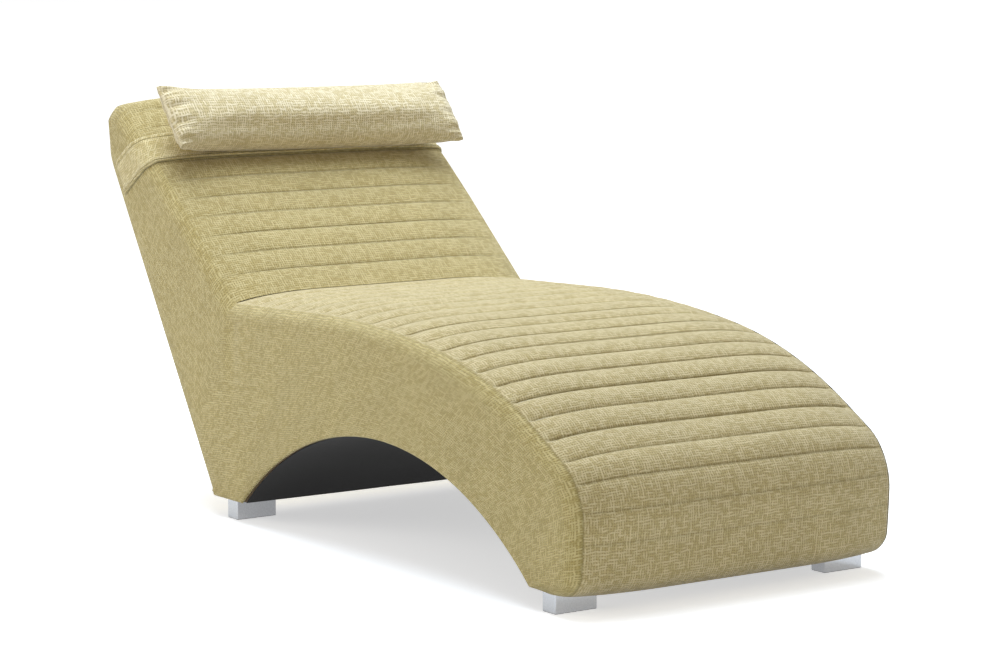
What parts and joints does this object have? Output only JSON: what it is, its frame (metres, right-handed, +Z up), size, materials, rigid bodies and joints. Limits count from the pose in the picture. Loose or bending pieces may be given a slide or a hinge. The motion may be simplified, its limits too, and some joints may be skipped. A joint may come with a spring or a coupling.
{
  "type": "upholstered relax lounger",
  "caption": "Low upholstered chaise with a reclined back, channel-quilted seat curving down to the toe, an arched underside, block feet and a sliding head pillow on a band.",
  "frame": {"origin": "on the floor under the middle of the overall length and width", "axes": "+X from the head end to the toe end, +Y towards the sitter's left, +Z up"},
  "size_m": [1.6609, 0.7276, 0.8401],
  "materials": {
    "upholstery": "coarse matt weave",
    "band": "coarse matt weave, hemmed",
    "foam": "open-cell foam",
    "wadding": "white wadding",
    "lining": "black lining cloth",
    "webbing": "elastic webbing",
    "timber": "sawn softwood",
    "panel": "plain chipboard and plywood",
    "zinc_steel": "zinc plated",
    "chrome": "polished chrome",
    "glide_plastic": "moulded"
  },
  "bodies": {
    "lounger": {"arch_board": "panel", "arch_lining": "lining", "arch_rail_front": "timber", "arch_rail_rear": "timber", "back_board": "panel", "back_rail": "timber", "back_webbing": "webbing", "base_board_front": "panel", "base_board_rear": "panel", "base_lining_front": "lining", "base_lining_rear": "lining", "cover_back": "upholstery", "cover_rear": "upholstery", "cover_seat": "upholstery", "cover_side_left": "upholstery", "cover_side_right": "upholstery", "foam_back": "foam", "foam_head": "foam", "foam_seat": "foam", "foot_bolts": "zinc_steel", "foot_front_left": "chrome", "foot_front_right": "chrome", "foot_glides": "glide_plastic", "foot_nuts": "zinc_steel", "foot_plates": "zinc_steel", "foot_rear_left": "chrome", "foot_rear_right": "chrome", "head_rail": "timber", "knee_rail": "timber", "lumbar_rail": "timber", "rear_pad": "wadding", "rear_rail": "timber", "seat_rail": "timber", "seat_rear_rail": "timber", "seat_webbing": "webbing", "side_frame_left": "panel", "side_frame_right": "panel", "side_pad_left": "wadding", "side_pad_right": "wadding", "toe_board": "panel", "toe_rail": "timber"},
    "headrest": {"headrest_band": "band", "pillow_cover": "upholstery", "pillow_filling": "wadding"}
  },
  "joints": [
    {"name": "pillow_slide", "type": "slide", "parent": "lounger", "child": "headrest", "axis": [-0.7727, 0, 0.6347], "range_m": [-0.1, 0.05], "deforming": ["headrest_band"]}
  ]
}
